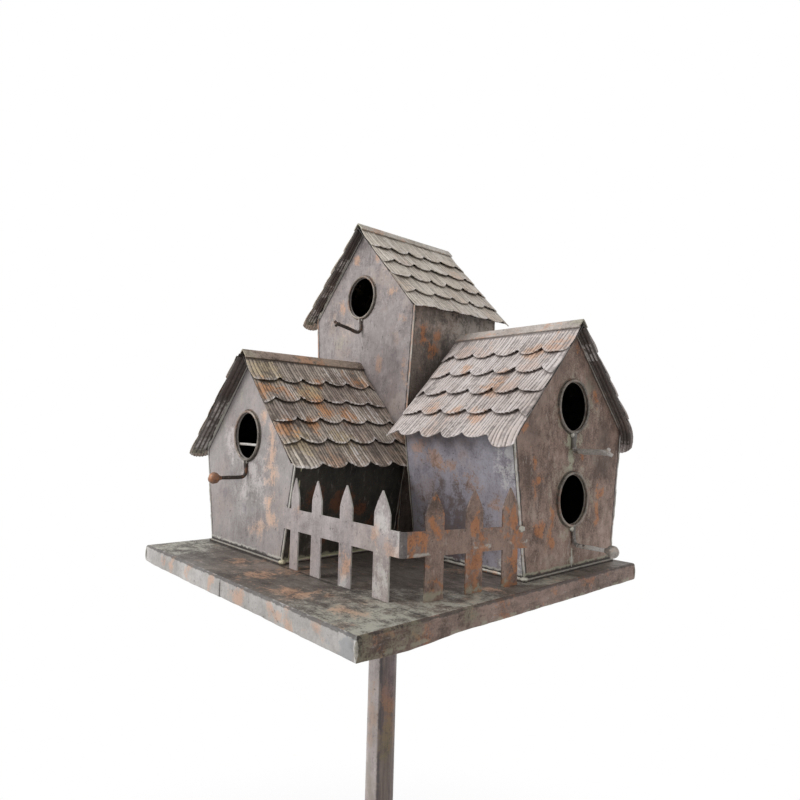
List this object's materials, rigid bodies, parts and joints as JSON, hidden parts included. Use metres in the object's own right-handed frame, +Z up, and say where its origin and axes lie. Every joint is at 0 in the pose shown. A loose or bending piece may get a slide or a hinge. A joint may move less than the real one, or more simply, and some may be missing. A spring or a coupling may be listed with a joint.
{
  "type": "nest box on a pole",
  "caption": "Weathered sheet-metal nest box: gabled bird houses with round entrances and wire perches, and a picket fence, on a square tray carried by a pole.",
  "frame": {"origin": "middle of the pole's foot, at ground level", "axes": "+Z up along the pole; -Y is the way the low and tall houses face, +X the way the twin house faces"},
  "size_m": [0.3397, 0.319, 1.3143],
  "materials": {
    "house_sheet": "weathered lilac-grey sheet with rust blooms",
    "twin_house_sheet": "weathered brown sheet with rust patches",
    "roof_sheet": "weathered ribbed shingle sheet",
    "tray_sheet": "weathered brown sheet with pale deposits",
    "fence_sheet": "weathered cut sheet with rust",
    "wire": "dull soldered wire",
    "perch_ball": "rusted ball",
    "pole_tube": "streaked weathered tube"
  },
  "bodies": {
    "root": {"pole": "pole_tube", "pole_flange": "pole_tube", "tray_top": "tray_sheet", "tray_rim_front": "tray_sheet", "tray_rim_right": "tray_sheet", "tray_rim_back": "tray_sheet", "tray_rim_left": "tray_sheet", "low_house_floor": "tray_sheet", "low_house_front_wall": "house_sheet", "low_house_back_wall": "house_sheet", "low_house_left_wall": "house_sheet", "low_house_right_wall": "house_sheet", "low_house_left_roof": "roof_sheet", "low_house_right_roof": "roof_sheet", "low_house_ridge_cap": "roof_sheet", "low_house_entrance_ring": "wire", "low_house_perch": "wire", "low_house_perch_ball": "perch_ball", "tall_house_floor": "tray_sheet", "tall_house_front_wall": "house_sheet", "tall_house_back_wall": "house_sheet", "tall_house_left_wall": "house_sheet", "tall_house_right_wall": "house_sheet", "tall_house_left_roof": "roof_sheet", "tall_house_right_roof": "roof_sheet", "tall_house_ridge_cap": "roof_sheet", "tall_house_entrance_ring": "wire", "tall_house_perch": "wire", "twin_house_floor": "tray_sheet", "twin_house_front_wall": "twin_house_sheet", "twin_house_back_wall": "twin_house_sheet", "twin_house_left_wall": "twin_house_sheet", "twin_house_right_wall": "twin_house_sheet", "twin_house_left_roof": "roof_sheet", "twin_house_right_roof": "roof_sheet", "twin_house_ridge_cap": "roof_sheet", "twin_house_upper_ring": "wire", "twin_house_lower_ring": "wire", "twin_house_upper_perch": "wire", "twin_house_lower_perch": "wire", "twin_house_perch_ball": "perch_ball", "front_fence": "fence_sheet", "fence_corner": "fence_sheet", "side_fence": "fence_sheet"}
  },
  "joints": []
}
